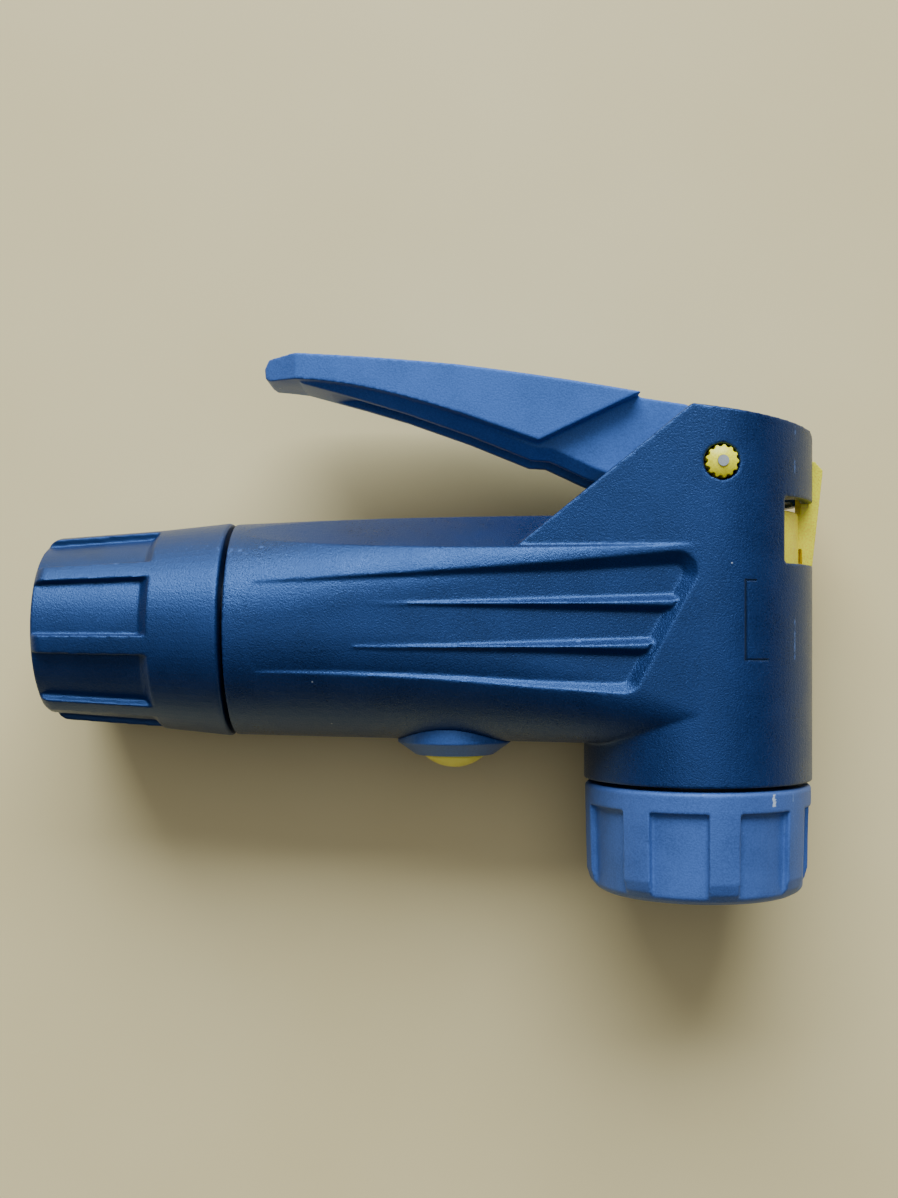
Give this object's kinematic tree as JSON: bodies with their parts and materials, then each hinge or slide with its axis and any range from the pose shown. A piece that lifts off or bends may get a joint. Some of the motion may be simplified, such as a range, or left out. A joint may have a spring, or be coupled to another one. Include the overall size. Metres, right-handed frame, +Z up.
{
  "type": "tire inflator head",
  "caption": "Hand-held tyre inflator head: a barrel with a turning screw-on inlet cap, a lever-locked valve port in a side cap, and a push-button air bleed.",
  "frame": {"origin": "centre of the footprint when the object lies on its side, on the surface it rests on", "axes": "+X along the barrel from the inlet cap towards the valve body; +Y along the valve axis from the valve port towards the lever; +Z up, through the object's thickness"},
  "size_m": [0.0968, 0.0664, 0.0292],
  "materials": {
    "housing_black": "fine-grained satin moulded nylon",
    "inlet_cap_black": "fine-grained satin moulded nylon",
    "lever_grey": "fine-grained satin moulded nylon, slate grey",
    "valve_cap_grey": "fine-grained satin moulded nylon, slate grey",
    "guard_grey": "satin moulded nylon, slate grey",
    "sleeve_grey": "moulded acetal",
    "cap_yellow": "semi-gloss moulded acetal",
    "plunger_yellow": "satin moulded acetal",
    "button_yellow": "satin moulded acetal",
    "seal_rubber": "nitrile rubber",
    "pin_steel": "plain steel",
    "brass": "turned brass",
    "bronze_filter": "sintered bronze",
    "core_aluminium": "turned aluminium"
  },
  "bodies": {
    "housing": {"housing": "housing_black", "valve_sleeve": "sleeve_grey", "sleeve_seal_upper": "seal_rubber", "sleeve_seal_lower": "seal_rubber", "lever_pin": "pin_steel", "pin_cap_front": "cap_yellow", "pin_cap_rear": "cap_yellow", "valve_gasket": "seal_rubber", "inlet_core": "core_aluminium", "core_seal_front": "seal_rubber", "core_seal_rear": "seal_rubber", "piercing_pin": "pin_steel", "filter_disc": "bronze_filter", "check_seat": "seal_rubber", "check_spring": "pin_steel", "spring_plate": "brass", "bleed_bush": "brass", "bleed_guard": "guard_grey", "bleed_spring": "pin_steel"},
    "lever": {"lever": "lever_grey"},
    "plunger": {"plunger": "plunger_yellow", "plunger_tab": "plunger_yellow", "plunger_seal_upper": "seal_rubber", "plunger_seal_lower": "seal_rubber", "pin_depressor": "brass", "gasket_washer": "pin_steel"},
    "valve_cap": {"valve_cap": "valve_cap_grey"},
    "inlet_cap": {"inlet_cap": "inlet_cap_black", "socket_insert": "brass", "cartridge_seal": "seal_rubber", "nose_seal": "seal_rubber"},
    "bleed_button": {"bleed_button": "button_yellow", "bleed_stem": "pin_steel", "bleed_seal": "seal_rubber"},
    "check_ball": {"check_ball": "pin_steel"}
  },
  "joints": [
    {"name": "lever_lock", "type": "hinge", "parent": "housing", "child": "lever", "pos_m": [0.03345, 0.01887, 0.0142], "axis": [0, 0, -1], "range_deg": [0, 75]},
    {"name": "plunger_press", "type": "slide", "parent": "housing", "child": "plunger", "axis": [0, -1, 0], "range_m": [0, 0.00265], "deforming": ["valve_gasket"]},
    {"name": "valve_cap_turn", "type": "hinge", "parent": "housing", "child": "valve_cap", "pos_m": [0.0328, -0.02658, 0.0142], "axis": [0, -1, 0], "range_deg": [0, 360]},
    {"name": "inlet_cap_turn", "type": "hinge", "parent": "housing", "child": "inlet_cap", "pos_m": [-0.0362, -0.00057, 0.0142], "axis": [-1, 0, 0], "range_deg": [0, 360]},
    {"name": "bleed_press", "type": "slide", "parent": "housing", "child": "bleed_button", "axis": [0, 1, 0], "range_m": [0, 0.0012], "stiffness_N_per_m": 800, "springref_m": -0.0005, "deforming": ["bleed_spring"]},
    {"name": "check_lift", "type": "slide", "parent": "housing", "child": "check_ball", "axis": [1, 0, 0], "range_m": [0, 0.0012], "stiffness_N_per_m": 100, "springref_m": -0.0005, "deforming": ["check_spring"]}
  ],
  "couplings": [
    {"joint": "plunger_press", "follows": "lever_lock", "m_per_rad": 0.0019863}
  ]
}
